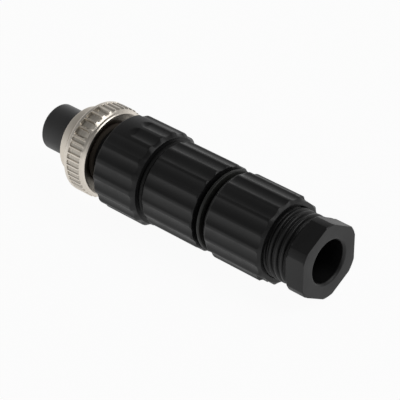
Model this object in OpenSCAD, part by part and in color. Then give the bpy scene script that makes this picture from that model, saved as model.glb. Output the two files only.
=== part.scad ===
// Field-wireable M8 sensor connector, female, straight, with screw terminals and a cable gland.
// The axis runs along X: the mating face is at X = 0, the cable leaves towards +X, +Z is up.
// Lengths are in millimetres. Angles round the axis are counted from +Y towards +Z.

/* [Contact insert] */
// Diameter of the mating nose
nose_d = 6.1; // [5.8:0.05:6.3]
// Length of the nose, from the mating face to its flange
nose_l = 8; // [7.2:0.1:8.8]
// Bevel on the front edge of the nose
nose_bevel = 0.25; // [0.1:0.05:0.4]
// Width of the polarising groove in the nose
key_w = 0.9; // [0.6:0.1:1.2]
// Depth of the polarising groove in the nose
key_depth = 0.5; // [0.3:0.1:0.6]
// Length of the polarising groove
key_l = 4.8; // [4:0.1:5.5]
// Thickness of the flange that the nut pulls on
flange_t = 0.8; // [0.6:0.1:1.2]
// Diameter of the carrier behind the flange
carrier_d = 6.8; // [6.6:0.1:7]
// Length of the carrier that stands out of the front body
head_l = 2.3; // [1.8:0.1:2.8]
// Section of the round seal on the nose
mating_seal_section = 0.7; // [0.5:0.05:0.8]
// Section of the round seal on the carrier
insert_seal_section = 0.5; // [0.4:0.05:0.6]

/* [Contacts] */
// Radius of the circle that the contacts stand on
contact_ring_r = 1.75; // [1.7:0.05:1.85]
// Diameter of the hole for the mating pin
pin_hole_d = 1.1; // [0.8:0.05:1.2]
// Outside diameter of a contact
contact_d = 1.6; // [1.4:0.05:1.7]
// Depth of the hole for the mating pin
pin_hole_l = 6; // [4:0.5:8]
// Thickness of the insert in front of the contacts
face_t = 0.5; // [0.3:0.1:0.8]
// Diameter of the terminal barrel
barrel_d = 2; // [1.8:0.05:2.1]
// Length of the terminal barrel
barrel_l = 5; // [4:0.5:6]
// Diameter of the wire hole in the terminal barrel
wire_d = 1.2; // [0.9:0.05:1.3]
// Depth of the wire hole
wire_l = 3.8; // [3:0.1:4.2]
// Diameter of a terminal screw
clamp_screw_d = 1.4; // [1.1:0.05:1.5]
// Width of the driver slot in a terminal screw
slot_w = 0.3; // [0.2:0.05:0.4]
// Depth of the driver slot in a terminal screw
slot_depth = 0.3; // [0.2:0.05:0.4]

/* [Coupling nut] */
// Outside diameter over the knurl
nut_d = 12; // [11.6:0.1:12.6]
// Length of the nut
nut_l = 5.45; // [5:0.05:6.2]
// Major diameter of the nut's thread
nut_thread_d = 8; // [7.9:0.05:8.2]
// Wall of the collar round the thread
collar_wall = 0.5; // [0.4:0.05:0.7]
// Length of the collar in front of the knurl
collar_l = 2; // [1.6:0.1:2.4]
// Depth of the turned line round the collar
collar_line = 0.1; // [0.05:0.01:0.15]
// Number of wide knurl pockets in each half of the nut
wide_n = 4; // [3:1:5]
// Angle taken up by one wide pocket with its ridge
wide_pitch = 12.4; // [11:0.2:13]
// Depth of a wide pocket
wide_depth = 0.5; // [0.3:0.05:0.55]
// Number of narrow knurl pockets in each half of the nut
narrow_n = 17; // [15:1:18]
// Depth of a narrow pocket
narrow_depth = 0.26; // [0.14:0.02:0.28]
// Width of the ridge left between two pockets
ridge_w = 0.2; // [0.16:0.01:0.26]
// Length of a knurl pocket's floor
pocket_l = 1.42; // [1.2:0.05:1.6]
// Rise of a pocket's floor behind that, for each millimetre of length
pocket_rise = 0.27; // [0.2:0.01:0.4]
// Width of the plain rim in front of the pockets
front_rim = 0.63; // [0.4:0.05:0.7]
// Radial height of the bevel on the knurl's front edge
knurl_bevel = 0.4; // [0.2:0.05:0.5]
// Length of the smooth rim behind the knurl
rear_rim = 0.75; // [0.65:0.05:0.95]
// Radial step from the knurl down to the smooth rim
rim_step = 0.37; // [0.25:0.02:0.45]
// Thickness of the shoulder that pulls on the flange
shoulder_t = 0.6; // [0.5:0.05:0.8]
// Depth of the recess in the nut's back
skirt_l = 0.85; // [0.8:0.05:1]
// Wall of the nut round that recess
skirt_wall = 0.45; // [0.35:0.05:0.6]
// Section of the friction ring behind the shoulder
friction_ring_section = 0.65; // [0.5:0.05:0.7]
// Free space between the nut and the front body
nut_gap = 1.83; // [1.5:0.05:2.2]

/* [Grip flutes] */
// Number of flutes round each body
flute_n = 18; // [16:1:20]
// Depth of a flute
flute_depth = 0.24; // [0.16:0.02:0.3]
// Radius of a flute's floor
flute_r = 1.8; // [1.4:0.05:2.2]
// How far the bevels on the rib ends reach below the flutes
bevel_past = 0.24; // [0.1:0.01:0.3]

/* [Front body] */
// Diameter over the ribs of the front body
body_d = 12.34; // [12:0.02:12.8]
// Length of the front body
body_l = 7.07; // [6.5:0.05:8]
// Length of the bevel on the front ends of its ribs
body_front_run = 0.42; // [0.3:0.02:0.6]
// Length of the bevel on the back ends of its ribs
body_back_run = 0.6; // [0.3:0.05:0.7]
// Length of the plain pad on top, in front of the flutes
pad_l = 2.4; // [1.8:0.1:3]
// Number of flutes that stop at the pad
pad_n = 2; // [1:1:4]
// Length over which a flute runs out at the pad
pad_run = 0.6; // [0.3:0.05:0.8]
// Length of the threaded spigot behind the front body
spigot_l = 4.25; // [3.8:0.05:4.8]
// Wall of the threaded spigot
spigot_wall = 1.15; // [1.05:0.01:1.25]
// Section of the round seal on the spigot
front_seal_section = 0.75; // [0.65:0.05:0.85]
// Free width on each side of that seal
front_seal_play = 0.09; // [0.05:0.01:0.15]

/* [Middle sleeve] */
// Length of the middle sleeve
sleeve_l = 8.12; // [7.6:0.02:9]
// Wall of the middle sleeve under its flutes
sleeve_wall = 0.73; // [0.65:0.01:0.85]
// Bevel on the edges of the middle sleeve
sleeve_bevel = 0.18; // [0.05:0.01:0.25]

/* [Gland body] */
// Length of the gland body behind the gasket
gland_l = 9; // [8.5:0.1:10]
// Wall of the gland body under its flutes
gland_wall = 0.78; // [0.7:0.01:0.9]
// Length of the bevel on the front ends of its ribs
gland_front_run = 0.6; // [0.3:0.05:0.8]
// Length of the bevel on the back ends of its ribs
gland_back_run = 0.4; // [0.2:0.05:0.6]
// Length of the two spanner flats at its back end
spanner_l = 1.3; // [1:0.05:1.8]
// Depth of the spanner flats below the ribs
spanner_depth = 0.38; // [0.34:0.01:0.45]
// Wall of the threaded tail that enters the sleeve
tail_wall = 0.8; // [0.7:0.01:0.9]
// Thickness of the flat gasket
gasket_t = 0.45; // [0.35:0.05:0.55]
// Radial width of the flat gasket
gasket_w = 0.87; // [0.6:0.01:0.95]
// Free width on each side of the gasket
gasket_play = 0.6; // [0.4:0.05:0.8]
// Thickness of the ledge that the grommet rests on
ledge_t = 0.5; // [0.4:0.05:0.7]

/* [Cable gland] */
// Diameter of the cable hole through the pressure screw
cable_hole_d = 5.5; // [5:0.1:5.8]
// Diameter of the hole through the grommet
grommet_hole_d = 4.6; // [4:0.1:5]
// Length of the grommet
grommet_l = 2.4; // [2:0.1:2.6]
// Depth of the grooves round the grommet
grommet_groove = 0.25; // [0.15:0.05:0.35]
// Length of the clamping cage
cage_l = 2; // [1.7:0.1:2.2]
// Length of the cage's closed ring
cage_ring_l = 0.6; // [0.4:0.05:0.8]
// Number of fingers of the cage
finger_n = 8; // [6:1:10]
// Width of the slits between the fingers
slit_w = 0.6; // [0.4:0.05:0.8]
// Thickness of the thrust ring
thrust_t = 0.45; // [0.35:0.05:0.6]
// Major diameter of the pressure screw's thread
screw_d = 9; // [8.9:0.02:9.2]
// Length of thread that stands open between hexagon and gland body
screw_open = 3.35; // [2.6:0.05:3.6]
// Width of the undercut in front of the hexagon
undercut_l = 0.35; // [0.2:0.05:0.5]
// Depth of that undercut
undercut_depth = 0.45; // [0.3:0.05:0.5]
// Width of the hexagon across its flats
hex_af = 9; // [8.8:0.1:9.6]
// Diameter that the hexagon's corners are turned to
hex_corner_d = 10; // [9.6:0.05:10.2]
// Length of the hexagon
hex_l = 2.67; // [2.2:0.05:3.2]
// Bevel on the corners of the hexagon
hex_bevel = 0.22; // [0.1:0.02:0.35]

/* [Clearances] */
// Radial clearance of fixed fits
fixed_fit = 0.03; // [0.02:0.01:0.05]
// Radial clearance of threads
thread_fit = 0.05; // [0.03:0.01:0.08]
// Radial clearance between nut and insert
nut_fit = 0.15; // [0.1:0.01:0.2]
// Radial clearance round the cable inside the gland
cable_fit = 0.3; // [0.2:0.01:0.4]
// Radial clearance round the terminal head
head_fit = 0.2; // [0.15:0.01:0.25]
// Gap that is left at an end stop
stop_gap = 0.1; // [0.05:0.01:0.12]

/* [Hidden] */
$fn = 96;
small_fn = 48;
over = 0.5; // how far a cutting body reaches past what it cuts

// Angles round the axis: first flutes, a spanner flat, first pocket, a hexagon's corner, key and contacts
body_first = 90;
sleeve_first = 15;
gland_first = 23;
spanner_angle = gland_first + 540 / flute_n;
pocket_first = 96.4;
hex_corner = 36.25;
key_angle = 270;
contact_angle = 45;

// Radii of the insert and of the nut
nose_r = nose_d / 2;
carrier_r = carrier_d / 2;
contact_r = contact_d / 2;
barrel_r = barrel_d / 2;
nut_thread_r = nut_thread_d / 2;
flange_r = nut_thread_r - nut_fit;
nut_r = nut_d / 2;
collar_r = nut_thread_r + collar_wall;
rim_r = nut_r - rim_step;

// Radii of the bodies, each from what it holds
rib_bevel = flute_depth + bevel_past;
body_r = body_d / 2;
body_bore_r = carrier_r + fixed_fit;
spigot_r = body_bore_r + spigot_wall;
tail_bore_r = carrier_r + head_fit;
tail_r = tail_bore_r + tail_wall;
sleeve_root_r = max(spigot_r, tail_r) + thread_fit + sleeve_wall;
sleeve_r = sleeve_root_r + flute_depth;
screw_r = screw_d / 2;
screw_bore_r = screw_r + thread_fit;
gland_root_r = max(screw_bore_r, tail_r) + gland_wall;
gland_r = gland_root_r + flute_depth;
cable_r = cable_hole_d / 2;
packing_r = tail_bore_r - fixed_fit;

// Stations along the axis, from the mating face to the cable end
seat_l = mating_seal_section + 2 * stop_gap;
flange_x0 = nose_l;
flange_x1 = flange_x0 + flange_t;
shoulder_x0 = flange_x1 + stop_gap;
shoulder_x1 = shoulder_x0 + shoulder_t;
nut_x1 = shoulder_x1 + skirt_l;
nut_x0 = nut_x1 - nut_l;
body_x0 = nut_x1 + nut_gap;
body_x1 = body_x0 + body_l;
spigot_x1 = body_x1 + spigot_l;
insert_seal_x = body_x0 + body_l / 3;
sleeve_x0 = body_x1 + front_seal_section + 2 * front_seal_play;
sleeve_x1 = sleeve_x0 + sleeve_l;
sleeve_step_x = spigot_x1 + stop_gap;
gasket_x0 = sleeve_x1 + gasket_play;
gland_x0 = gasket_x0 + gasket_t + gasket_play;
gland_x1 = gland_x0 + gland_l;
tail_x0 = spigot_x1 + gasket_play + 2 * stop_gap;
head_x1 = spigot_x1 + head_l;
ledge_x0 = head_x1 + gasket_play + 2 * stop_gap;
grommet_x0 = ledge_x0 + ledge_t;
cage_x0 = grommet_x0 + grommet_l + stop_gap / 2;
cage_x1 = cage_x0 + cage_l;
packing_x1 = cage_x1 + stop_gap / 2;
hex_x0 = gland_x1 + screw_open;
hex_x1 = hex_x0 + hex_l;
screw_travel = screw_open - stop_gap / 2;
thrust_x0 = packing_x1 + stop_gap / 2 + screw_travel;
screw_x0 = thrust_x0 + thrust_t + stop_gap / 2;
barrel_x1 = head_x1 - stop_gap;
barrel_x0 = barrel_x1 - barrel_l;
clamp_x = (spigot_x1 + head_x1) / 2;
clamp_r0 = contact_ring_r + wire_d / 2 + stop_gap / 2;
clamp_r1 = carrier_r - stop_gap;

// Turns what stands on +Z onto the connector's axis
module along_x() {
    rotate([0, 90, 0])
        children();
}

// Turns round the axis, from +Y towards +Z
module at_angle(angle) {
    rotate([angle, 0, 0])
        children();
}

// Solid of revolution from points given as [radius, station]
module turned(points, sides = $fn) {
    along_x()
        rotate_extrude($fn = sides)
            polygon(points);
}

// Round bar from one station to another
module bar(x0, x1, r, sides = $fn) {
    translate([x0, 0, 0])
        along_x()
            cylinder(h = x1 - x0, r = r, $fn = sides);
}

// Ring of round section that lies on a round seat
module round_seal(x, seat_r, section) {
    translate([x, 0, 0])
        along_x()
            rotate_extrude()
                translate([seat_r + section / 2, 0])
                    circle(d = section, $fn = small_fn);
}

// Cuts the grip flutes; those at the plain pad start later and run out on a cone
module flutes(x0, x1, root_r, first, plain_n = 0) {
    start = x0 + pad_l + pad_run;
    tip_x = start - 1.2 * pad_run;
    tip_r = flute_r - 1.2 * flute_depth;
    for (i = [0 : flute_n - 1])
        at_angle(first + i * 360 / flute_n)
            translate([0, root_r + flute_r, 0])
                if (i < plain_n)
                    turned([[0, tip_x], [tip_r, tip_x], [flute_r, start], [flute_r, x1 + over],
                            [0, x1 + over]], small_fn);
                else
                    bar(x0 - over, x1 + over, flute_r, small_fn);
}

// Turned body with grip flutes; its seam lies on the middle of a rib
module fluted(points, x0, x1, root_r, first, plain_n = 0) {
    difference() {
        at_angle(first + 180 / flute_n + 90)
            turned(points);
        flutes(x0, x1, root_r, first, plain_n);
    }
}

// Places one contact's worth of children at its place on the contact circle
module at_contact(i) {
    at_angle(contact_angle + 90 * i)
        translate([0, contact_ring_r, 0])
            children();
}

// Radial bar for a terminal screw or its hole
module clamp_bar(i, r0, r1, r) {
    at_angle(contact_angle + 90 * i)
        translate([clamp_x, r0, 0])
            rotate([-90, 0, 0])
                cylinder(h = r1 - r0, r = r, $fn = small_fn);
}

// Black moulded insert: nose, flange and the carrier with its four contact chambers
module contact_insert() {
    seat_r = nose_r - fixed_fit - mating_seal_section / 3;
    groove_r = body_bore_r - insert_seal_section - 2 * fixed_fit;
    groove_half = insert_seal_section / 2 + fixed_fit;
    color([0.06, 0.06, 0.065])
        difference() {
            turned([[0, 0], [nose_r - nose_bevel, 0], [nose_r, nose_bevel],
                    [nose_r, flange_x0 - seat_l], [seat_r, flange_x0 - seat_l], [seat_r, flange_x0],
                    [flange_r, flange_x0], [flange_r, flange_x1], [carrier_r, flange_x1],
                    [carrier_r, insert_seal_x - groove_half], [groove_r, insert_seal_x - groove_half],
                    [groove_r, insert_seal_x + groove_half], [carrier_r, insert_seal_x + groove_half],
                    [carrier_r, head_x1], [0, head_x1]]);
            at_angle(key_angle)
                translate([-over, nose_r - key_depth, -key_w / 2])
                    cube([key_l + over, key_depth + over, key_w]);
            for (i = [0 : 3]) {
                at_contact(i) {
                    bar(-over, face_t + over, pin_hole_d / 2 + stop_gap, small_fn);
                    bar(face_t, barrel_x0, contact_r + fixed_fit, small_fn);
                    bar(barrel_x0 - fixed_fit, head_x1 + over, barrel_r + fixed_fit, small_fn);
                }
                clamp_bar(i, contact_ring_r, carrier_r + over, clamp_screw_d / 2 + fixed_fit);
            }
        }
}

// Turned contact: a socket for the mating pin in front and a screw terminal behind
module contact(i) {
    x0 = face_t + fixed_fit;
    pin_hole_r = pin_hole_d / 2;
    wire_r = wire_d / 2;
    color([0.83, 0.66, 0.3])
        difference() {
            at_contact(i)
                turned([[pin_hole_r, x0], [contact_r, x0], [contact_r, barrel_x0], [barrel_r, barrel_x0],
                        [barrel_r, barrel_x1], [wire_r, barrel_x1], [wire_r, barrel_x1 - wire_l],
                        [0, barrel_x1 - wire_l], [0, x0 + pin_hole_l], [pin_hole_r, x0 + pin_hole_l]],
                       small_fn);
            clamp_bar(i, contact_ring_r, carrier_r + over, clamp_screw_d / 2 + fixed_fit);
        }
}

// Four slotted screws that clamp the wires in the terminals
module terminal_screws() {
    color([0.75, 0.75, 0.74])
        for (i = [0 : 3])
            difference() {
                clamp_bar(i, clamp_r0, clamp_r1, clamp_screw_d / 2);
                at_angle(contact_angle + 90 * i)
                    translate([clamp_x - slot_w / 2, clamp_r1 - slot_depth, -clamp_screw_d])
                        cube([slot_w, slot_depth + over, 2 * clamp_screw_d]);
            }
}

// Round seal that the mating half presses on
module mating_seal() {
    color([0.1, 0.1, 0.1])
        round_seal(flange_x0 - seat_l / 2, nose_r - mating_seal_section / 3, mating_seal_section);
}

// Round seal between insert and front body
module insert_seal() {
    color([0.1, 0.1, 0.1])
        round_seal(insert_seal_x, body_bore_r - insert_seal_section - fixed_fit, insert_seal_section);
}

// Cutter for one knurl pocket: hollow floor, steep front and a gently rising back
module pocket(x0, pitch, depth) {
    half = nut_r * sin(pitch / 2) - ridge_w / 2;
    drop = sqrt(nut_r * nut_r - half * half) - nut_r + depth;
    cut_r = (half * half + drop * drop) / (2 * drop);
    translate([0, nut_r - depth + cut_r, 0])
        turned([[0, x0], [cut_r, x0], [cut_r, x0 + pocket_l], [0, x0 + pocket_l + cut_r / pocket_rise]],
               small_fn);
}

// Nickel-plated coupling nut with a knurled grip and an inner shoulder
module coupling_nut() {
    knurl_x0 = nut_x0 + collar_l;
    knurl_x1 = nut_x1 - rear_rim;
    mouth = nut_thread_r + collar_wall / 2;
    line_x = nut_x0 + collar_l / 2;
    pocket_x0 = knurl_x0 + front_rim + knurl_bevel / 2;
    wide_turn = wide_n * wide_pitch;
    narrow_pitch = (180 - wide_turn) / narrow_n;
    edge = skirt_wall / 3;
    color([0.74, 0.72, 0.68])
        difference() {
            at_angle(pocket_first + 90)
                turned([[nut_thread_r, nut_x0 + collar_wall / 2], [mouth, nut_x0],
                        [collar_r - collar_line, nut_x0], [collar_r, nut_x0 + collar_line],
                        [collar_r, line_x], [collar_r - collar_line, line_x + collar_line],
                        [collar_r - collar_line, line_x + 3 * collar_line],
                        [collar_r, line_x + 4 * collar_line],
                        [collar_r, knurl_x0], [nut_r - knurl_bevel, knurl_x0],
                        [nut_r, knurl_x0 + knurl_bevel], [nut_r, knurl_x1], [rim_r, knurl_x1 + rim_step],
                        [rim_r, nut_x1 - edge], [rim_r - edge, nut_x1], [rim_r - skirt_wall, nut_x1],
                        [rim_r - skirt_wall, shoulder_x1], [carrier_r + nut_fit, shoulder_x1],
                        [carrier_r + nut_fit, shoulder_x0], [nut_thread_r, shoulder_x0]]);
            for (side = [0, 180])
                at_angle(pocket_first + side) {
                    for (i = [0 : wide_n - 1])
                        at_angle((i + 0.5) * wide_pitch)
                            pocket(pocket_x0, wide_pitch, wide_depth);
                    for (i = [0 : narrow_n - 1])
                        at_angle(wide_turn + (i + 0.5) * narrow_pitch)
                            pocket(pocket_x0, narrow_pitch, narrow_depth);
                }
        }
}

// Rubber ring that rides in the nut's recess and rubs on the carrier
module nut_friction_ring() {
    color([0.1, 0.1, 0.1])
        round_seal(shoulder_x1 + friction_ring_section / 2 + stop_gap / 2, carrier_r + fixed_fit,
                   friction_ring_section);
}

// Black front body: fluted grip with a plain pad on top, and the threaded spigot behind it
module front_body() {
    color([0.07, 0.07, 0.075])
        fluted([[body_bore_r, body_x0], [body_r - rib_bevel, body_x0],
                [body_r, body_x0 + body_front_run], [body_r, body_x1 - body_back_run],
                [body_r - rib_bevel, body_x1], [spigot_r, body_x1], [spigot_r, spigot_x1],
                [body_bore_r, spigot_x1]],
               body_x0, body_x1, body_r - flute_depth, body_first, pad_n);
}

// Round seal on the spigot, between front body and middle sleeve
module front_seal() {
    color([0.09, 0.09, 0.09])
        round_seal((body_x1 + sleeve_x0) / 2, spigot_r + fixed_fit, front_seal_section);
}

// Black middle sleeve, threaded inside at both ends
module middle_sleeve() {
    color([0.07, 0.07, 0.075])
        fluted([[spigot_r + thread_fit, sleeve_x0], [sleeve_r - sleeve_bevel, sleeve_x0],
                [sleeve_r, sleeve_x0 + sleeve_bevel], [sleeve_r, sleeve_x1 - sleeve_bevel],
                [sleeve_r - sleeve_bevel, sleeve_x1], [tail_r + thread_fit, sleeve_x1],
                [tail_r + thread_fit, sleeve_step_x], [spigot_r + thread_fit, sleeve_step_x]],
               sleeve_x0, sleeve_x1, sleeve_root_r, sleeve_first);
}

// Flat gasket on the gland body's tail
module rear_gasket() {
    inner_r = tail_r + fixed_fit;
    color([0.16, 0.16, 0.15])
        difference() {
            bar(gasket_x0, gasket_x0 + gasket_t, inner_r + gasket_w);
            bar(gasket_x0 - over, gasket_x0 + gasket_t + over, inner_r);
        }
}

// Black gland body: threaded tail, fluted grip with two spanner flats, chamber for grommet, cage and screw
module gland_body() {
    color([0.07, 0.07, 0.075])
        difference() {
            fluted([[tail_bore_r, tail_x0], [tail_r, tail_x0], [tail_r, gland_x0],
                    [gland_r - rib_bevel, gland_x0], [gland_r, gland_x0 + gland_front_run],
                    [gland_r, gland_x1 - gland_back_run], [gland_r - rib_bevel, gland_x1],
                    [screw_bore_r, gland_x1], [screw_bore_r, packing_x1], [tail_bore_r, packing_x1],
                    [tail_bore_r, grommet_x0], [cable_r + cable_fit, grommet_x0],
                    [cable_r + cable_fit, ledge_x0], [tail_bore_r, ledge_x0]],
                   gland_x0, gland_x1, gland_root_r, gland_first);
            for (side = [0, 180])
                at_angle(spanner_angle + side)
                    translate([gland_x1 - spanner_l, gland_r - spanner_depth, -gland_r])
                        cube([spanner_l + over, spanner_depth + over, 2 * gland_r]);
        }
}

// Soft grommet that seals on the cable
module cable_grommet() {
    hole_r = grommet_hole_d / 2;
    fifth = grommet_l / 5;
    color([0.12, 0.12, 0.12])
        turned([[hole_r, grommet_x0], [packing_r, grommet_x0], [packing_r, grommet_x0 + fifth],
                [packing_r - grommet_groove, grommet_x0 + 1.5 * fifth], [packing_r, grommet_x0 + 2 * fifth],
                [packing_r, grommet_x0 + 3 * fifth], [packing_r - grommet_groove, grommet_x0 + 3.5 * fifth],
                [packing_r, grommet_x0 + 4 * fifth], [packing_r, grommet_x0 + grommet_l],
                [hole_r, grommet_x0 + grommet_l]]);
}

// Clamping cage: a ring with fingers that close on the cable
module clamping_cage() {
    inner_r = cable_r + cable_fit;
    tip = (packing_r - inner_r) / 2;
    color([0.2, 0.2, 0.21])
        difference() {
            turned([[inner_r, cage_x0], [packing_r, cage_x0], [packing_r, cage_x1 - 2 * tip],
                    [packing_r - tip, cage_x1], [inner_r, cage_x1]]);
            for (i = [0 : finger_n - 1])
                at_angle(i * 360 / finger_n)
                    translate([cage_x0 + cage_ring_l, 0, -slit_w / 2])
                        cube([cage_l, packing_r + over, slit_w]);
        }
}

// Plain ring between the pressure screw and the cage
module thrust_ring() {
    color([0.55, 0.55, 0.53])
        difference() {
            bar(thrust_x0, thrust_x0 + thrust_t, screw_r - stop_gap);
            bar(thrust_x0 - over, thrust_x0 + thrust_t + over, cable_r + cable_fit);
        }
}

// Pressure screw: threaded shank, undercut and a hexagon with turned corners
module pressure_screw() {
    corner_r = hex_corner_d / 2;
    face_r = corner_r - hex_bevel;
    color([0.08, 0.08, 0.085])
        difference() {
            union() {
                turned([[0, screw_x0], [screw_r - undercut_depth, screw_x0],
                        [screw_r, screw_x0 + undercut_depth], [screw_r, hex_x0 - undercut_l],
                        [screw_r - undercut_depth, hex_x0 - undercut_l],
                        [screw_r - undercut_depth, hex_x0 + over], [0, hex_x0 + over]]);
                intersection() {
                    turned([[0, hex_x0], [face_r, hex_x0], [corner_r, hex_x0 + hex_bevel],
                            [corner_r, hex_x1 - hex_bevel], [face_r, hex_x1], [0, hex_x1]]);
                    at_angle(hex_corner)
                        translate([hex_x0 - over, 0, 0])
                            along_x()
                                rotate(90)
                                    cylinder(h = hex_l + 2 * over, d = hex_af / cos(30), $fn = 6);
                }
            }
            bar(screw_x0 - over, hex_x1 + over, cable_r);
        }
}

contact_insert();
contact(0);  // contact_1
contact(1);  // contact_2
contact(2);  // contact_3
contact(3);  // contact_4
terminal_screws();
mating_seal();
insert_seal();
coupling_nut();
nut_friction_ring();
front_body();
front_seal();
middle_sleeve();
rear_gasket();
gland_body();
cable_grommet();
clamping_cage();
thrust_ring();
pressure_screw();
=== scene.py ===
import math

import bmesh
import bpy
from mathutils import Matrix, Vector


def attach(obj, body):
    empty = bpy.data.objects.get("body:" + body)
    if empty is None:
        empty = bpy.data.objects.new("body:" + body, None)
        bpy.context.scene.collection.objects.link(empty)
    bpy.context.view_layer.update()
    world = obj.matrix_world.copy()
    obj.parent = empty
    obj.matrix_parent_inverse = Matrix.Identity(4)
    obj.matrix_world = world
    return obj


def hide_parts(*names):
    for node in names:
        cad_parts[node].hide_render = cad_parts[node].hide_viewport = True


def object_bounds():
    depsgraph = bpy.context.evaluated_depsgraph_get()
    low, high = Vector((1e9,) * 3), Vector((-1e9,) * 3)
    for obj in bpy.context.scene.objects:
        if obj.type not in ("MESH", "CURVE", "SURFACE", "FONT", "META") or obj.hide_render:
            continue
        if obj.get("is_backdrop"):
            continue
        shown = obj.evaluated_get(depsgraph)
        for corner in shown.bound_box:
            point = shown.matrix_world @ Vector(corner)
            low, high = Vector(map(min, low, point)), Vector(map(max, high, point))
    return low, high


mm = 0.001
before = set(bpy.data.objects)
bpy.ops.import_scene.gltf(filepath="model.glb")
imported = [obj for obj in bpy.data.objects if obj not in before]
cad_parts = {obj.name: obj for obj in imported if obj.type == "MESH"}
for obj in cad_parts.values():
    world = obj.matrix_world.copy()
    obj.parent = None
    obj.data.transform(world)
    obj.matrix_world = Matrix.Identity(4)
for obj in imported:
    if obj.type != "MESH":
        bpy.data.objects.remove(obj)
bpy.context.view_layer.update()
scene = bpy.context.scene
print("frame loaded:", len(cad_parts), "nodes")


# small helpers for wiring node trees

class Wiring:
    def __init__(self, tree):
        self.tree = tree

    def node(self, kind, inputs=None, **settings):
        made = self.tree.nodes.new(kind)
        for key, value in settings.items():
            setattr(made, key, value)
        for key, value in (inputs or {}).items():
            self.feed(made.inputs[key], value)
        return made

    def feed(self, socket, value):
        if isinstance(value, bpy.types.NodeSocket):
            self.tree.links.new(value, socket)
        else:
            socket.default_value = value

    def sums(self, operation, *values):
        made = self.node("ShaderNodeMath", operation=operation)
        for socket, value in zip(made.inputs, values):
            self.feed(socket, value)
        return made.outputs[0]

    def add(self, a, b):
        return self.sums("ADD", a, b)

    def minus(self, a, b):
        return self.sums("SUBTRACT", a, b)

    def times(self, a, b):
        return self.sums("MULTIPLY", a, b)

    def over(self, a, b):
        return self.sums("DIVIDE", a, b)

    def ramp(self, value, low, high, toLow=0.0, toHigh=1.0, steps="LINEAR"):
        made = self.node("ShaderNodeMapRange", {
            "Value": value, "From Min": low, "From Max": high, "To Min": toLow, "To Max": toHigh},
            interpolation_type=steps)
        return made.outputs[0]

    def place(self):
        return self.node("GeometryNodeInputPosition").outputs[0]

    def onObject(self):
        return self.node("ShaderNodeTexCoord").outputs["Object"]

    def parts(self, vector):
        return self.node("ShaderNodeSeparateXYZ", {0: vector}).outputs


number = "NodeSocketFloat"
whole = "NodeSocketInt"
coating = "NodeSocketMaterial"


def newShapeTree(name, sockets):
    tree = bpy.data.node_groups.new(name, "GeometryNodeTree")
    tree.interface.new_socket("Geometry", in_out="INPUT", socket_type="NodeSocketGeometry")
    for label, kind in sockets:
        tree.interface.new_socket(label, in_out="INPUT", socket_type=kind)
    tree.interface.new_socket("Geometry", in_out="OUTPUT", socket_type="NodeSocketGeometry")
    wires = Wiring(tree)
    return wires, wires.node("NodeGroupInput").outputs


def closeShapeTree(wires, shape, material):
    real = wires.node("GeometryNodeRealizeInstances", {"Geometry": shape})
    painted = wires.node("GeometryNodeSetMaterial", {"Geometry": real.outputs[0], "Material": material})
    wires.node("NodeGroupOutput", {"Geometry": painted.outputs[0]})
    return wires.tree


# a lathe: each point of the piece's own outline (station, radius) becomes a ring

mergeDistance = 0.0005 * mm
sameStation = 0.001 * mm
sameRadius = 0.002 * mm


def lathe(wires, outline, sides):
    rings = wires.node("GeometryNodeAttributeDomainSize", {"Geometry": outline}).outputs["Point Count"]
    cloth = wires.node("GeometryNodeMeshGrid", {
        "Size X": rings, "Size Y": sides,
        "Vertices X": wires.add(rings, 1), "Vertices Y": wires.add(sides, 1)})
    onward, around = wires.parts(wires.place())[:2]
    ring = wires.sums("ROUND", wires.add(onward, wires.over(rings, 2)))
    column = wires.sums("ROUND", wires.add(around, wires.over(sides, 2)))
    picked = wires.node("GeometryNodeSampleIndex", {
        "Geometry": outline, "Value": wires.place(),
        "Index": wires.sums("FLOORED_MODULO", ring, rings)}, data_type="FLOAT_VECTOR", domain="POINT")
    station, radius = wires.parts(picked.outputs[0])[:2]
    return cloth.outputs["Mesh"], station, radius, column


def evenAngle(wires, column, sides):
    return wires.times(wires.over(column, sides), math.tau)


def wrapLathe(wires, cloth, station, radius, angle, rub):
    kept = wires.node("GeometryNodeStoreNamedAttribute", {"Geometry": cloth, "Name": "rub", "Value": rub},
                      data_type="FLOAT", domain="POINT")
    place = wires.node("ShaderNodeCombineXYZ", {
        0: station, 1: wires.times(radius, wires.sums("COSINE", angle)),
        2: wires.times(radius, wires.sums("SINE", angle))})
    moved = wires.node("GeometryNodeSetPosition", {"Geometry": kept.outputs[0], "Position": place.outputs[0]})
    merged = wires.node("GeometryNodeMergeByDistance", {
        "Geometry": moved.outputs[0], "Distance": mergeDistance})
    return wires.node("GeometryNodeSetShadeSmooth", {"Geometry": merged.outputs[0]}).outputs[0]


# behind the start, edges that bend by more than the corner angle stay crisp
def keepCrisp(wires, shape, start, corner):
    bend = wires.node("GeometryNodeInputMeshEdgeAngle").outputs["Unsigned Angle"]
    station = wires.parts(wires.place())[0]
    soft = wires.sums("MAXIMUM", wires.sums("LESS_THAN", bend, corner),
                      wires.sums("LESS_THAN", station, start))
    made = wires.node("GeometryNodeSetShadeSmooth", {"Geometry": shape, "Shade Smooth": soft}, domain="EDGE")
    return made.outputs[0]


# number of the nearest of so many places round the axis, and the angle from it
def nearestOf(wires, angle, first, count):
    step = wires.over(math.tau, count)
    turns = wires.over(wires.minus(angle, first), step)
    nearest = wires.sums("ROUND", turns)
    return nearest, wires.times(wires.minus(turns, nearest), step)


# cuts the radius down to a limit with a soft edge, which takes off a sixth of its softness at most
def softCut(wires, radius, limit, soft):
    cut = wires.sums("SMOOTH_MIN", radius, limit, soft)
    hard = wires.sums("MINIMUM", radius, limit)
    mostTaken = wires.over(soft, 6)
    return cut, wires.ramp(wires.minus(hard, cut), 0.0, mostTaken)


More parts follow.
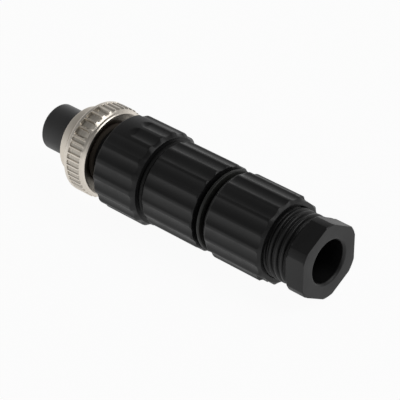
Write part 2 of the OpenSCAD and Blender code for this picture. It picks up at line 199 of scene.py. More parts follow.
# radius of a groove with a round floor, whose centre lies at axis
def roundFlute(wires, axis, floor, aside):
    across = wires.times(axis, wires.sums("SINE", aside))
    inside = wires.minus(wires.times(floor, floor), wires.times(across, across))
    deep = wires.times(wires.sums("GREATER_THAN", floor, 0.0), wires.sums("MAXIMUM", inside, 0.0))
    return wires.minus(wires.times(axis, wires.sums("COSINE", aside)), wires.sums("SQRT", deep))


# a flat across the lathe's shape, one of so many round it; a metre out of the way where it isn't there
def flatLimit(wires, angle, first, count, distance, there):
    aside = nearestOf(wires, angle, first, count)[1]
    return wires.add(wires.over(distance, wires.sums("COSINE", aside)), wires.minus(1, there))


# a right-handed thread, wound on the rings that have the thread's radius

threadSockets = [("Thread Radius", number), ("Thread Start", number), ("Thread End", number),
                 ("Pitch", number), ("Thread Depth", number), ("Crest Share", number)]
runOutShare = 0.35  # of the pitch, at each end


def windThread(wires, given, station, radius, angle):
    wound = wires.minus(wires.over(station, given["Pitch"]), wires.over(angle, math.tau))
    saw = wires.sums("ABSOLUTE", wires.minus(wires.times(wires.sums("FRACT", wound), 2), 1))
    valley = wires.ramp(saw, given["Crest Share"], wires.minus(1, given["Crest Share"]), steps="SMOOTHSTEP")
    runOut = wires.times(given["Pitch"], runOutShare)
    begun = wires.ramp(station, given["Thread Start"], wires.add(given["Thread Start"], runOut))
    ended = wires.ramp(station, wires.minus(given["Thread End"], runOut), given["Thread End"], 1.0, 0.0)
    onThread = wires.sums("COMPARE", radius, given["Thread Radius"], sameRadius)
    there = wires.times(onThread, wires.times(begun, ended))
    sunk = wires.times(wires.times(valley, there), given["Thread Depth"])
    return sunk, wires.times(wires.minus(1, valley), there)


def threadValues(thread, pitch, depth, crestShare):
    major, start, end = thread
    return {"Thread Radius": major * mm, "Thread Start": start * mm, "Thread End": end * mm,
            "Pitch": pitch * mm, "Thread Depth": depth * mm, "Crest Share": crestShare}


def makeFluteTree():
    wires, given = newShapeTree("flutedGrip", [
        ("Sides", whole), ("Flutes", whole), ("First Flute", number), ("Floor Radius", number),
        ("Root Radius", number), ("Flute Depth", number), ("Edge Softness", number),
        ("Pad Flutes", whole), ("Pad Start", number), ("Pad Run", number),
        ("Flat Angle", number), ("Flat Distance", number), ("Flat Start", number), ("Flat Softness", number),
        ("Crisp Lead", number), ("Crisp Corner", number), *threadSockets, ("Finish", coating)])
    cloth, station, radius, column = lathe(wires, given["Geometry"], given["Sides"])
    angle = evenAngle(wires, column, given["Sides"])
    nearest, aside = nearestOf(wires, angle, given["First Flute"], given["Flutes"])
    turn = wires.sums("FLOORED_MODULO", nearest, given["Flutes"])
    plain = wires.sums("LESS_THAN", turn, wires.minus(given["Pad Flutes"], 0.5))
    padEnd = wires.add(given["Pad Start"], given["Pad Run"])
    onPad = wires.times(plain, wires.ramp(station, given["Pad Start"], padEnd, 1.0, 0.0))
    axis = wires.add(given["Root Radius"], given["Floor Radius"])
    limit = roundFlute(wires, axis, given["Floor Radius"], aside)
    clear = wires.add(given["Flute Depth"], given["Edge Softness"])
    lifted = wires.add(limit, wires.times(onPad, clear))
    fluted, rub = softCut(wires, radius, lifted, given["Edge Softness"])
    atFlat = wires.sums("GREATER_THAN", station, given["Flat Start"])
    flat = flatLimit(wires, angle, given["Flat Angle"], 2, given["Flat Distance"], atFlat)
    cut, worn = softCut(wires, fluted, flat, given["Flat Softness"])
    sunk = windThread(wires, given, station, radius, angle)[0]
    shape = wrapLathe(wires, cloth, station, wires.minus(cut, sunk), angle, wires.sums("MAXIMUM", rub, worn))
    crispStart = wires.minus(given["Flat Start"], given["Crisp Lead"])
    return closeShapeTree(wires, keepCrisp(wires, shape, crispStart, given["Crisp Corner"]), given["Finish"])


def makeHexTree():
    wires, given = newShapeTree("threadedHexagon", [
        ("Sides", whole), ("Across Flats", number), ("Hexagon Corner", number), ("Hexagon Start", number),
        ("Edge Softness", number), ("Crest Rub", number), ("Crisp Corner", number), *threadSockets,
        ("Finish", coating)])
    cloth, station, radius, column = lathe(wires, given["Geometry"], given["Sides"])
    angle = wires.add(evenAngle(wires, column, given["Sides"]), given["Hexagon Corner"])
    onHex = wires.sums("GREATER_THAN", station, wires.minus(given["Hexagon Start"], sameStation))
    firstFlat = wires.add(given["Hexagon Corner"], math.pi / 6)
    flat = flatLimit(wires, angle, firstFlat, 6, wires.times(given["Across Flats"], 0.5), onHex)
    cut, rub = softCut(wires, radius, flat, given["Edge Softness"])
    sunk, crest = windThread(wires, given, station, radius, angle)
    worn = wires.sums("MAXIMUM", rub, wires.times(crest, given["Crest Rub"]))
    shape = wrapLathe(wires, cloth, station, wires.minus(cut, sunk), angle, worn)
    crisp = keepCrisp(wires, shape, given["Hexagon Start"], given["Crisp Corner"])
    return closeShapeTree(wires, crisp, given["Finish"])


# knurl: in each half turn a few wide pockets, then narrow ones, and each pocket has its own columns

def makeKnurlTree():
    wires, given = newShapeTree("knurledNut", [
        ("First Ridge", number), ("Wide Pockets", whole), ("Wide Pitch", number), ("Wide Columns", whole),
        ("Narrow Pockets", whole), ("Narrow Columns", whole), ("Crest Radius", number), ("Ridge Width", number),
        ("Wide Depth", number), ("Narrow Depth", number), ("Floor Start", number), ("Floor End", number),
        ("Front Slope", number), ("Back Slope", number), ("Floor Fill", number), ("Edge Softness", number),
        ("Crest Rub", number), ("Crisp Lead", number), ("Crisp Corner", number), *threadSockets,
        ("Finish", coating)])
    wideColumns = wires.times(given["Wide Pockets"], given["Wide Columns"])
    halfColumns = wires.add(wideColumns, wires.times(given["Narrow Pockets"], given["Narrow Columns"]))
    cloth, station, radius, column = lathe(wires, given["Geometry"], wires.times(halfColumns, 2))
    half = wires.sums("FLOOR", wires.over(column, halfColumns))
    inHalf = wires.minus(column, wires.times(half, halfColumns))
    wideTurn = wires.times(given["Wide Pockets"], given["Wide Pitch"])
    narrowPitch = wires.over(wires.minus(math.pi, wideTurn), given["Narrow Pockets"])
    isWide = wires.sums("LESS_THAN", inHalf, wideColumns)

    def either(wide, narrow):
        return wires.add(wires.times(isWide, wide), wires.times(wires.minus(1, isWide), narrow))

    along = either(wires.over(inHalf, given["Wide Columns"]),
                   wires.over(wires.minus(inHalf, wideColumns), given["Narrow Columns"]))
    pitch = either(given["Wide Pitch"], narrowPitch)
    turned = wires.add(wires.times(along, pitch), wires.times(wires.minus(1, isWide), wideTurn))
    angle = wires.add(wires.add(given["First Ridge"], wires.times(half, math.pi)), turned)
    aside = wires.times(wires.minus(wires.sums("FRACT", along), 0.5), pitch)
    depth = either(given["Wide Depth"], given["Narrow Depth"])
    chord = wires.minus(wires.times(given["Crest Radius"], wires.sums("SINE", wires.times(pitch, 0.5))),
                        wires.times(given["Ridge Width"], 0.5))
    squares = wires.add(wires.times(chord, chord), wires.times(depth, depth))
    bowl = wires.over(squares, wires.times(depth, 2))
    early = wires.sums("MAXIMUM", wires.minus(given["Floor Start"], station), 0.0)
    late = wires.sums("MAXIMUM", wires.minus(station, given["Floor End"]), 0.0)
    backSlope = either(given["Back Slope"], 0.0)  # the narrow pockets run on level
    rise = wires.add(wires.times(early, given["Front Slope"]), wires.times(late, backSlope))
    bottom = wires.minus(given["Crest Radius"], depth)
    scoop = roundFlute(wires, wires.add(bottom, bowl), wires.minus(bowl, rise), aside)
    level = wires.add(wires.add(bottom, rise), wires.times(depth, given["Floor Fill"]))
    limit = wires.sums("SMOOTH_MAX", scoop, level, given["Edge Softness"])
    cut, rub = softCut(wires, radius, limit, given["Edge Softness"])
    sunk, crest = windThread(wires, given, station, radius, angle)
    worn = wires.sums("MAXIMUM", rub, wires.times(crest, given["Crest Rub"]))
    shape = wrapLathe(wires, cloth, station, wires.minus(cut, sunk), angle, worn)
    crispStart = wires.minus(given["Floor Start"], given["Crisp Lead"])
    return closeShapeTree(wires, keepCrisp(wires, shape, crispStart, given["Crisp Corner"]), given["Finish"])


def makeRingTree():
    wires, given = newShapeTree("turnedRing", [("Sides", whole), ("Finish", coating)])
    cloth, station, radius, column = lathe(wires, given["Geometry"], given["Sides"])
    shape = wrapLathe(wires, cloth, station, radius, evenAngle(wires, column, given["Sides"]), 0.0)
    return closeShapeTree(wires, shape, given["Finish"])


fluteTree = makeFluteTree()
hexTree = makeHexTree()
knurlTree = makeKnurlTree()
ringTree = makeRingTree()
print("shape trees built")


# outlines: corners given as (station, radius, rounding), in millimetres

longestRounding = 0.45  # of the shorter side at a corner
arcSteps = 4


def roundedOutline(corners):
    points = []
    for i, (x, r, soft) in enumerate(corners):
        here = Vector((x, r))
        back = Vector(corners[i - 1][:2]) - here
        on = Vector(corners[(i + 1) % len(corners)][:2]) - here
        soft = min(soft, longestRounding * back.length, longestRounding * on.length)
        if soft <= 0:
            points.append(here)
            continue
        a, b = here + back.normalized() * soft, here + on.normalized() * soft
        for k in range(arcSteps + 1):
            t = k / arcSteps
            points.append(a * (1 - t) ** 2 + here * 2 * t * (1 - t) + b * t * t)
    return points


# rings about a step apart, on one radius
def between(x0, x1, r, step):
    count = max(2, round(abs(x1 - x0) / step))
    return [(x0 + (x1 - x0) * k / count, r, 0) for k in range(count + 1)]


def outlineObject(name, corners):
    mesh = bpy.data.meshes.new(name)
    points = [(p.x * mm, p.y * mm, 0) for p in roundedOutline(corners)]
    mesh.from_pydata(points, [(i, (i + 1) % len(points)) for i in range(len(points))], [])
    piece = bpy.data.objects.new(name, mesh)
    scene.collection.objects.link(piece)
    return piece


def faceOutwards(mesh):
    shape = bmesh.new()
    shape.from_mesh(mesh)
    bmesh.ops.recalc_face_normals(shape, faces=shape.faces)
    shape.to_mesh(mesh)
    shape.free()


def runTree(piece, tree, values):
    modifier = piece.modifiers.new("shape", "NODES")
    modifier.node_group = tree
    for item in tree.interface.items_tree:
        if item.in_out == "INPUT" and item.name in values:
            modifier[item.identifier] = values[item.name]
    even = piece.modifiers.new("even normals", "WEIGHTED_NORMAL")
    even.keep_sharp = True
    evaluated = piece.evaluated_get(bpy.context.evaluated_depsgraph_get())
    finished = bpy.data.meshes.new_from_object(evaluated)
    piece.modifiers.clear()
    piece.data = finished
    faceOutwards(finished)


# finishes; sizes and depths of their marks in millimetres

perMillimetre = 1 / mm


def newFinish(name):
    finish = bpy.data.materials.new(name)
    finish.use_nodes = True
    finish.node_tree.nodes.clear()
    wires = Wiring(finish.node_tree)
    shader = wires.node("ShaderNodeBsdfPrincipled")
    wires.node("ShaderNodeOutputMaterial", {"Surface": shader.outputs[0]})
    return finish, wires, shader.inputs


def newShaderGroup(name, inputs, outputs):
    group = bpy.data.node_groups.new(name, "ShaderNodeTree")
    for label, start in inputs.items():
        socket = group.interface.new_socket(label, in_out="INPUT", socket_type=number)
        socket.default_value = start
    for label in outputs:
        group.interface.new_socket(label, in_out="OUTPUT", socket_type=number)
    wires = Wiring(group)
    return wires, wires.node("NodeGroupInput").outputs


mouldGrain = {"detail": 3.0, "roughness": 0.55, "patchDetail": 2.0}


def makeGrainGroup(m):
    wires, given = newShaderGroup("mouldGrain", {"Grain Size": 0.12, "Patch Size": 2.5}, ["Height", "Patches"])
    spot = wires.onObject()
    fine = wires.node("ShaderNodeTexNoise", {
        "Vector": spot, "Scale": wires.over(perMillimetre, given["Grain Size"]),
        "Detail": m["detail"], "Roughness": m["roughness"]})
    broad = wires.node("ShaderNodeTexNoise", {
        "Vector": spot, "Scale": wires.over(perMillimetre, given["Patch Size"]), "Detail": m["patchDetail"]})
    wires.node("NodeGroupOutput", {"Height": fine.outputs[0], "Patches": broad.outputs[0]})
    return wires.tree


turningMarks = {"outwards": 1.37, "detail": 2.0, "streakWidth": 4, "streakDetail": 1.0}


# marks that run round the axis, on cylinders and on end faces
def makeTurningGroup(m):
    wires, given = newShaderGroup("turningMarks", {"Mark Width": 0.05}, ["Height", "Streaks", "Outwards", "Along"])
    along, sideways, upwards = wires.parts(wires.onObject())
    outwards = wires.sums("SQRT", wires.add(wires.times(sideways, sideways), wires.times(upwards, upwards)))
    travel = wires.add(along, wires.times(outwards, m["outwards"]))
    marks = wires.node("ShaderNodeTexNoise", {
        "W": travel, "Scale": wires.over(perMillimetre, given["Mark Width"]), "Detail": m["detail"]},
        noise_dimensions="1D")
    streaks = wires.node("ShaderNodeTexNoise", {
        "W": travel, "Scale": wires.over(perMillimetre / m["streakWidth"], given["Mark Width"]),
        "Detail": m["streakDetail"]}, noise_dimensions="1D")
    wires.node("NodeGroupOutput", {"Height": marks.outputs[0], "Streaks": streaks.outputs[0],
                                   "Outwards": outwards, "Along": along})
    return wires.tree


rubbedEdges = {"scale": 1500.0, "detail": 4.0, "noise": (0.35, 0.65), "share": (0.35, 1.0)}


def makeRubGroup(m):
    wires, given = newShaderGroup("rubbedEdges", {"Amount": 0.5}, ["Mask"])
    stored = wires.node("ShaderNodeAttribute", attribute_name="rub", attribute_type="GEOMETRY").outputs["Fac"]
    broken = wires.node("ShaderNodeTexNoise", {
        "Vector": wires.onObject(), "Scale": m["scale"], "Detail": m["detail"]})
    patchy = wires.ramp(broken.outputs[0], *m["noise"], *m["share"])
    wires.node("NodeGroupOutput", {"Mask": wires.times(wires.times(stored, patchy), given["Amount"])})
    return wires.tree


grainGroup = makeGrainGroup(mouldGrain)
turningGroup = makeTurningGroup(turningMarks)
rubGroup = makeRubGroup(rubbedEdges)


def useGroup(wires, group, values):
    return wires.node("ShaderNodeGroup", values, node_tree=group).outputs


def blendColours(wires, share, dark, light):
    made = wires.node("ShaderNodeMix", {"Factor": share}, data_type="RGBA")
    made.inputs[6].default_value = (*dark, 1)
    made.inputs[7].default_value = (*light, 1)
    return made.outputs[2]


def bump(wires, height, strength, depth):
    made = wires.node("ShaderNodeBump", {"Height": height, "Strength": strength, "Distance": depth * mm})
    return made.outputs[0]


patchRange = (0.3, 0.7)
plasticPatches = 0.35
metalGrain = {"size": 0.3, "patch": 1.8, "streakShare": 0.6, "patchShare": 0.4}


def makePlastic(name, dark, light, rough, grain, shine=0.5, bloom=0.0):
    finish, wires, shader = newFinish(name)
    shader["Specular IOR Level"].default_value = shine
    shader["Sheen Weight"].default_value = bloom
    marks = useGroup(wires, grainGroup, {"Grain Size": grain["size"], "Patch Size": grain["patch"]})
    rub = useGroup(wires, rubGroup, {"Amount": grain["rub"]})
    share = wires.add(wires.times(marks["Patches"], plasticPatches), rub["Mask"])
    wires.feed(shader["Base Color"], blendColours(wires, share, dark, light))
    wires.feed(shader["Roughness"], wires.ramp(marks["Patches"], *patchRange, *rough))
    wires.feed(shader["Normal"], bump(wires, marks["Height"], grain["strength"], grain["depth"]))
    return finish


# first mark: the turned surface in front of a station, rougher, and lighter as painted light for its bright
# reflection; second mark: painted shade, the pockets between two stations darker below the crest
def makeMetal(name, dark, light, rough, marks, matteAndLit=None, hollowShade=None):
    finish, wires, shader = newFinish(name)
    turning = useGroup(wires, turningGroup, {"Mark Width": marks["width"]})
    grain = useGroup(wires, grainGroup, {"Grain Size": metalGrain["size"], "Patch Size": metalGrain["patch"]})
    share = wires.add(wires.times(turning["Streaks"], metalGrain["streakShare"]),
                      wires.times(grain["Patches"], metalGrain["patchShare"]))
    roughness = wires.ramp(grain["Patches"], *patchRange, *rough)
    # painted light: in front of the station the colour is lighter, standing in for the bright reflection the
    # turned collar shows; the added roughness is its own finish
    if matteAndLit:
        last, first = (matteAndLit["end"] - matteAndLit["blur"]) * mm, (matteAndLit["end"] + matteAndLit["blur"]) * mm
        turned = wires.ramp(turning["Along"], last, first, 1.0, 0.0)
        share = wires.add(share, wires.times(turned, matteAndLit["lighter"]))
        roughness = wires.add(roughness, wires.times(turned, matteAndLit["rougher"]))
    # painted shade: pocket floors and walls below the crest are darker where shade falls in the pockets, and the
    # whole colour is lifted to make up for it
    if hollowShade:
        below = wires.ramp(turning["Outwards"], hollowShade["floor"] * mm, hollowShade["crest"] * mm, 1.0, 0.0)
        begun = wires.sums("GREATER_THAN", turning["Along"], hollowShade["start"] * mm)
        ended = wires.sums("LESS_THAN", turning["Along"], hollowShade["end"] * mm)
        paintedPocketShade = wires.times(below, wires.times(begun, ended))
        share = wires.minus(wires.add(share, hollowShade["elsewhere"]), wires.times(paintedPocketShade, hollowShade["darker"]))
    wires.feed(shader["Base Color"], blendColours(wires, share, dark, light))
    wires.feed(shader["Roughness"], roughness)
    wires.feed(shader["Normal"], bump(wires, turning["Height"], marks["strength"], marks["depth"]))
    shader["Metallic"].default_value = 1.0
    return finish


bodyBlack = makePlastic(
    "satin black plastic", (0.004, 0.004, 0.0042), (0.014, 0.014, 0.0145), (0.36, 0.46),
    {"size": 0.10, "patch": 3.0, "rub": 0.5, "strength": 0.25, "depth": 0.006}, shine=0.4)
# painted light: the insert's base colour is lighter than the body's black, standing in for the glow of light round
# the nose
insertBlackGlareLit = makePlastic(
    "insert black plastic", (0.018, 0.018, 0.0185), (0.034, 0.034, 0.035), (0.40, 0.50),
    {"size": 0.12, "patch": 2.2, "rub": 0.3, "strength": 0.2, "depth": 0.005}, bloom=0.2)
cageGrey = makePlastic(
    "cage grey plastic", (0.09, 0.09, 0.095), (0.15, 0.15, 0.155), (0.45, 0.55),
    {"size": 0.15, "patch": 1.5, "rub": 0.2, "strength": 0.25, "depth": 0.006})
sealRubber = makePlastic(
    "black seal rubber", (0.003, 0.003, 0.003), (0.016, 0.016, 0.016), (0.5, 0.65),
    {"size": 0.08, "patch": 0.35, "rub": 0.0, "strength": 0.6, "depth": 0.012}, shine=0.25)
# painted light and reflection: the friction ring sits in shade in the nut's recess, and its colour is lighter and
# browner than black rubber, standing in for the lit, nickel-tinted recess round it
ringRubberLitBrown = makePlastic(
    "ring rubber lit brown", (0.065, 0.054, 0.043), (0.11, 0.093, 0.075), (0.7, 0.85),
    {"size": 0.10, "patch": 0.5, "rub": 0.0, "strength": 0.3, "depth": 0.01}, shine=0.2)
gasketGrey = makePlastic(
    "grey gasket rubber", (0.010, 0.0105, 0.009), (0.026, 0.027, 0.023), (0.45, 0.6),
    {"size": 0.09, "patch": 0.6, "rub": 0.0, "strength": 0.4, "depth": 0.01}, shine=0.45)
# the nickel's lighter collar is painted light, and its darker pocket floors are painted shade
nickelPlate = makeMetal(
    "nickel plate", (0.50, 0.463, 0.405), (0.88, 0.815, 0.725), (0.28, 0.36),
    {"width": 0.05, "strength": 0.25, "depth": 0.004},
    matteAndLit={"end": 6.85, "blur": 0.05, "lighter": 0.2, "rougher": 0.2},
    hollowShade={"start": 7.4, "end": 9.7, "floor": 5.81, "crest": 5.95, "elsewhere": 0.4, "darker": 0.85})
goldPlate = makeMetal(
    "gold plated brass", (0.78, 0.55, 0.20), (0.92, 0.70, 0.32), (0.18, 0.26),
    {"width": 0.04, "strength": 0.2, "depth": 0.003})
zincSteel = makeMetal(
    "zinc plated steel", (0.52, 0.52, 0.51), (0.66, 0.66, 0.65), (0.28, 0.38),
    {"width": 0.04, "strength": 0.25, "depth": 0.004})
print("finishes made")


# fluted grip bodies; stations and radii as in the solids, angles in degrees

fluteShape = {"count": 18, "depth": 0.24, "floor": 1.8, "soft": 0.1, "perFlute": 26,
              "padStart": 14.35, "padRun": 0.95,
              "flatAngle": 53, "flatDistance": 5.19, "flatSoft": 0.08, "crispLead": 0.1, "crispCorner": 24,
              "pitch": 1.0, "threadDepth": 0.35, "crestShare": 0.22}
noThread = (0, 0, 0)
noFlat = 100  # a station behind every piece

grips = {
    "frontGrip": {
        "node": "front_body", "body": "front_shell", "first": 90, "root": 5.93, "pad": 2,
        "thread": (4.58, 20.35, 23.35), "flatStart": noFlat,
        "outline": [(12.18, 3.43, 0.05), (12.18, 5.69, 0.06), (12.6, 6.17, 0.1),
                    *between(14.25, 15.4, 6.17, 0.07), (18.65, 6.17, 0.12), (19.25, 5.69, 0.05),
                    (19.25, 4.58, 0.0), *between(20.3, 23.3, 4.58, 0.08), (23.5, 4.58, 0.1),
                    (23.5, 3.43, 0.05)]},
    "middleGrip": {
        "node": "middle_sleeve", "body": "sleeve", "first": 15, "root": 5.36, "pad": 0,
        "thread": noThread, "flatStart": noFlat,
        "outline": [(20.18, 4.63, 0.05), (20.18, 5.42, 0.03), (20.36, 5.6, 0.08), (28.12, 5.6, 0.08),
                    (28.3, 5.42, 0.03), (28.3, 4.45, 0.05), (23.6, 4.45, 0.05), (23.6, 4.63, 0.0)]},
    "glandGrip": {
        "node": "gland_body", "body": "gland", "first": 23, "root": 5.33, "pad": 0,
        "thread": (4.4, 24.45, 28.25), "flatStart": 37.65,
        "outline": [(24.3, 3.6, 0.05), (24.3, 4.4, 0.1), *between(24.5, 28.3, 4.4, 0.08),
                    (29.95, 4.4, 0.0), (29.95, 5.09, 0.04), (30.55, 5.57, 0.12),
                    (37.4, 5.57, 0.0), (37.64, 5.57, 0.0), (37.66, 5.57, 0.0), (37.8, 5.57, 0.0),
                    (38.55, 5.57, 0.1), (38.95, 5.09, 0.06), (38.95, 4.55, 0.06), (31.6, 4.55, 0.0),
                    (31.6, 3.6, 0.05), (27.1, 3.6, 0.0), (27.1, 3.05, 0.05), (26.6, 3.05, 0.05),
                    (26.6, 3.6, 0.0)]},
}


def makeGrip(name, grip, f):
    piece = outlineObject(name, grip["outline"])
    runTree(piece, fluteTree, {
        "Sides": f["count"] * f["perFlute"], "Flutes": f["count"], "First Flute": math.radians(grip["first"]),
        "Floor Radius": f["floor"] * mm, "Root Radius": grip["root"] * mm, "Flute Depth": f["depth"] * mm,
        "Edge Softness": f["soft"] * mm, "Pad Flutes": grip["pad"], "Pad Start": f["padStart"] * mm,
        "Pad Run": f["padRun"] * mm, "Flat Angle": math.radians(f["flatAngle"]),
        "Flat Distance": f["flatDistance"] * mm, "Flat Start": grip["flatStart"] * mm,
        "Flat Softness": f["flatSoft"] * mm, "Crisp Lead": f["crispLead"] * mm,
        "Crisp Corner": math.radians(f["crispCorner"]), "Finish": bodyBlack,
        **threadValues(grip["thread"], f["pitch"], f["threadDepth"], f["crestShare"])})
    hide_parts(grip["node"])
    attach(piece, grip["body"])


for gripName, grip in grips.items():
    makeGrip(gripName, grip, fluteShape)
print("fluted grips made")


# hollow pressure screw: thread, undercut and hexagon

pressureScrew = {"bore": 2.75, "front": 35.45, "neck": 4.05, "mouth": 0.25, "sides": 360,
                 "thread": (4.5, 35.9, 41.95), "threadStep": 0.06, "pitch": 0.9, "threadDepth": 0.42,
                 "crestShare": 0.22, "crestRub": 0.6,
                 "hex": (42.3, 44.97), "acrossFlats": 9.12, "corner": 36.25, "cornerRadius": 5.0,
                 "bevel": 0.22, "backBevel": 0.14, "edge": 0.02, "crispCorner": 16}


def makePressureScrew(s):
    major, start, end = s["thread"]
    hex0, hex1 = s["hex"]
    corner = s["cornerRadius"]
    piece = outlineObject("pressureScrew", [
        (s["front"], s["bore"], 0.06), (s["front"], s["neck"], 0.03),
        *between(start, end, major, s["threadStep"]), (end, s["neck"], 0.0), (hex0, s["neck"], 0.05),
        (hex0, corner - s["bevel"], 0.0), (hex0 + s["bevel"], corner, 0.03),
        (hex1 - s["backBevel"], corner, 0.03), (hex1, corner - s["backBevel"], 0.0),
        (hex1, s["bore"] + s["mouth"], 0.12), (hex1 - s["mouth"], s["bore"], 0.12)])
    runTree(piece, hexTree, {
        "Sides": s["sides"], "Across Flats": s["acrossFlats"] * mm,
        "Hexagon Corner": math.radians(s["corner"]), "Hexagon Start": hex0 * mm,
        "Edge Softness": s["edge"] * mm, "Crest Rub": s["crestRub"],
        "Crisp Corner": math.radians(s["crispCorner"]), "Finish": bodyBlack,
        **threadValues(s["thread"], s["pitch"], s["threadDepth"], s["crestShare"])})
    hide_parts("pressure_screw")
    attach(piece, "screw")


makePressureScrew(pressureScrew)
print("pressure screw made")


# coupling nut: knurled outside, threaded inside
# the bore behind the thread is a hair off the thread's radius, so that no thread is wound there

couplingNut = {"front": 4.9, "rear": 10.35, "collar": 4.5, "mouth": 4.25, "frontEdge": 0.1, "line": (5.9, 0.1),
               "crest": 6.0, "bevel": 0.4, "rim": 5.63, "edge": 0.15, "recess": 5.18, "shoulder": (8.9, 9.5, 3.55),
               "thread": (4.0, 5.15, 6.35), "threadStep": 0.06, "pitch": 1.0, "threadDepth": 0.44,
               "crestShare": 0.2, "crestRub": 0.4, "boreGap": 0.05, "boreHair": 0.005,
               "knurl": (6.9, 9.6), "floor": (7.73, 9.15), "slopes": (4.0, 0.27), "firstRidge": 96.4,
               "ridge": 0.2, "fill": 0.3, "soft": 0.045, "crispLead": 0.3, "crispCorner": 30,
               "wide": {"count": 4, "pitch": 12.4, "depth": 0.475, "columns": 16},
               "narrow": {"count": 17, "depth": 0.252, "columns": 10},
               "wallRings": (0.1, 0.04), "backRings": (0.06, 0.09), "slopeRings": (0.35, 0.7)}


def makeNut(n):
    major, start, end = n["thread"]
    bore = major - n["boreHair"]
    shoulder0, shoulder1, lip = n["shoulder"]
    knurl0, knurl1 = n["knurl"]
    floor0, floor1 = n["floor"]
    frontSlope, backSlope = n["slopes"]
    line, lineDeep = n["line"]
    wide, narrow = n["wide"], n["narrow"]
    collar, crest, rim, rear = n["collar"], n["crest"], n["rim"], n["rear"]
    step = crest - rim
    wallEnd, wallStep = n["wallRings"]
    backEnd, backStep = n["backRings"]
    piece = outlineObject("couplingNut", [
        (n["front"], n["mouth"], 0.03), (n["front"], collar - n["frontEdge"], 0.03),
        (n["front"] + n["frontEdge"], collar, 0.04), (line, collar, 0.03),
        (line + lineDeep, collar - lineDeep, 0.03), (line + 3 * lineDeep, collar - lineDeep, 0.03),
        (line + 4 * lineDeep, collar, 0.03), (knurl0, collar, 0.06),
        (knurl0, crest - n["bevel"], 0.08), (knurl0 + n["bevel"], crest, 0.12),
        *between(floor0 - n["crispLead"], floor0 + wallEnd, crest, wallStep),
        *between(floor1, knurl1 - backEnd, crest, backStep), (knurl1, crest, 0.06),
        *[(knurl1 + share * step, crest - share * step, 0) for share in n["slopeRings"]],
        (knurl1 + step, rim, 0.06), (rear - n["edge"], rim, 0.05), (rear, rim - n["edge"], 0.04),
        (rear, n["recess"], 0.04), (shoulder1, n["recess"], 0.05), (shoulder1, lip, 0.05),
        (shoulder0, lip, 0.03), (shoulder0, bore, 0.0), (end + n["boreGap"], bore, 0.0),
        *reversed(between(start, end, major, n["threadStep"]))])
    runTree(piece, knurlTree, {
        "First Ridge": math.radians(n["firstRidge"]), "Wide Pockets": wide["count"],
        "Wide Pitch": math.radians(wide["pitch"]), "Wide Columns": wide["columns"],
        "Narrow Pockets": narrow["count"], "Narrow Columns": narrow["columns"],
        "Crest Radius": crest * mm, "Ridge Width": n["ridge"] * mm, "Wide Depth": wide["depth"] * mm,
        "Narrow Depth": narrow["depth"] * mm, "Floor Start": floor0 * mm, "Floor End": floor1 * mm,
        "Front Slope": frontSlope, "Back Slope": backSlope, "Floor Fill": n["fill"],
        "Edge Softness": n["soft"] * mm, "Crest Rub": n["crestRub"], "Crisp Lead": n["crispLead"] * mm,
        "Crisp Corner": math.radians(n["crispCorner"]), "Finish": nickelPlate,
        **threadValues(n["thread"], n["pitch"], n["threadDepth"], n["crestShare"])})
    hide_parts("coupling_nut")
    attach(piece, "nut")


makeNut(couplingNut)
print("coupling nut made")


# flat gasket with rounded rims

gasket = {"front": 28.9, "back": 29.35, "hole": 4.43, "rim": 5.3, "rounding": 0.2, "holeEdge": 0.03, "sides": 200}


def makeGasket(g):
    piece = outlineObject("gasketRing", [
        (g["front"], g["hole"], g["holeEdge"]), (g["front"], g["rim"], g["rounding"]),
        (g["back"], g["rim"], g["rounding"]), (g["back"], g["hole"], g["holeEdge"])])
    runTree(piece, ringTree, {"Sides": g["sides"], "Finish": gasketGrey})
    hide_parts("rear_gasket")
    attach(piece, "gasket")


makeGasket(gasket)
print("gasket made")


# finishes on the solids that are shown as they are

solidFinishes = {
    "contact_insert": insertBlackGlareLit, "contact_1": goldPlate, "contact_2": goldPlate,
    "contact_3": goldPlate, "contact_4": goldPlate, "terminal_screws": zincSteel,
    "mating_seal": sealRubber, "insert_seal": sealRubber, "front_seal": sealRubber,
    "nut_friction_ring": ringRubberLitBrown, "cable_grommet": sealRubber, "clamping_cage": cageGrey,
    "thrust_ring": zincSteel,
}
for nodeName, finish in solidFinishes.items():
    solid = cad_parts[nodeName]
    solid.data.materials.clear()
    solid.data.materials.append(finish)
print("solids finished")


# floor, light and camera, in metres

studio = {"floorSize": 1.6, "floorGlow": 0.95, "floorMirror": 0.7, "paper": (0.9, 0.92), "mottle": 40.0,
          "zenith": 0.18, "horizon": 1.0, "glowTop": 0.85,
          "frontShare": 0.55, "frontReach": (-0.7, 0.5), "rightShare": 0.35, "rightReach": (0.2, 0.9)}
softBox = {"spot": (0.53, 0.15, 0.58), "aim": (0.02, 0, 0), "size": 0.6, "power": 1.8}
camera = {"eye": (0.169022, -0.168635, 0.117718), "aim": (0.022643, 0.002406, -0.002046),
          "roll": 4.917, "lens": 187.673, "sensor": 36.0, "nearest": 0.01}


def aimed(spot, aim):
    return (Vector(aim) - Vector(spot)).to_track_quat("-Z", "Y")


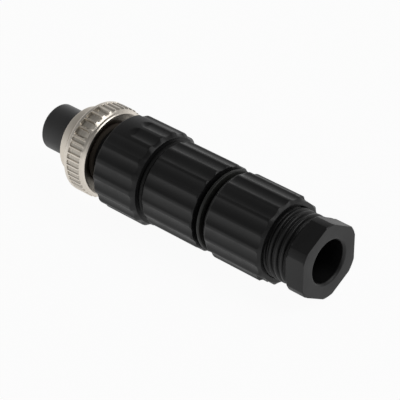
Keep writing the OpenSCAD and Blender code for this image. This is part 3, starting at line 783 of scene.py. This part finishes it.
# white paper: nearly its own white to the camera and in reflections, with a little of the shadow left
def makeFloor(s):
    mesh = bpy.data.meshes.new("floor")
    half = s["floorSize"] / 2
    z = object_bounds()[0][2]
    mesh.from_pydata([(-half, -half, z), (half, -half, z), (half, half, z), (-half, half, z)], [], [(0, 1, 2, 3)])
    floor = bpy.data.objects.new("floor", mesh)
    scene.collection.objects.link(floor)
    paper = bpy.data.materials.new("white paper")
    paper.use_nodes = True
    paper.node_tree.nodes.clear()
    wires = Wiring(paper.node_tree)
    mottle = wires.node("ShaderNodeTexNoise", {"Scale": s["mottle"]})
    dark, light = s["paper"]
    tone = blendColours(wires, mottle.outputs[0], (dark, dark, dark), (light, light, light))
    lit = wires.node("ShaderNodeBsdfDiffuse", {"Color": tone})
    glow = wires.node("ShaderNodeEmission", {"Strength": 1.0})
    path = wires.node("ShaderNodeLightPath").outputs
    share = wires.add(wires.times(path["Is Camera Ray"], s["floorGlow"]),
                      wires.times(path["Is Glossy Ray"], s["floorMirror"]))
    mixed = wires.node("ShaderNodeMixShader", {0: share, 1: lit.outputs[0], 2: glow.outputs[0]})
    wires.node("ShaderNodeOutputMaterial", {"Surface": mixed.outputs[0]})
    mesh.materials.append(paper)
    floor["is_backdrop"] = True


def makeSoftBox(s):
    light = bpy.data.lights.new("softBox", "AREA")
    light.shape = "DISK"
    light.size = s["size"]
    light.energy = s["power"]
    holder = bpy.data.objects.new("softBox", light)
    holder.location = s["spot"]
    holder.rotation_euler = aimed(s["spot"], s["aim"]).to_euler()
    scene.collection.objects.link(holder)


# sky: brightest at the horizon, dimmer overhead, in front and to the right
def makeSky(s):
    world = bpy.data.worlds.new("studio")
    scene.world = world
    world.use_nodes = True
    world.node_tree.nodes.clear()
    wires = Wiring(world.node_tree)
    right, back, up = wires.parts(wires.node("ShaderNodeTexCoord").outputs["Generated"])
    rising = wires.ramp(up, 0.0, s["glowTop"], s["horizon"], s["zenith"])
    behind = wires.ramp(back, *s["frontReach"], s["frontShare"], 1.0)
    aside = wires.ramp(right, *s["rightReach"], 1.0, s["rightShare"])
    level = wires.times(rising, wires.times(behind, aside))
    sky = wires.node("ShaderNodeBackground", {"Color": (1, 1, 1, 1), "Strength": level})
    wires.node("ShaderNodeOutputWorld", {"Surface": sky.outputs[0]})


def makeCamera(c):
    data = bpy.data.cameras.new("camera")
    data.lens = c["lens"]
    data.sensor_width = c["sensor"]
    data.clip_start = c["nearest"]
    holder = bpy.data.objects.new("camera", data)
    roll = Matrix.Rotation(math.radians(c["roll"]), 3, "Z")
    turn = aimed(c["eye"], c["aim"]).to_matrix() @ roll
    holder.matrix_world = Matrix.Translation(Vector(c["eye"])) @ turn.to_4x4()
    scene.collection.objects.link(holder)
    scene.camera = holder


makeFloor(studio)
makeSoftBox(softBox)
makeSky(studio)
makeCamera(camera)
scene.view_settings.view_transform = "Standard"
print("studio set")
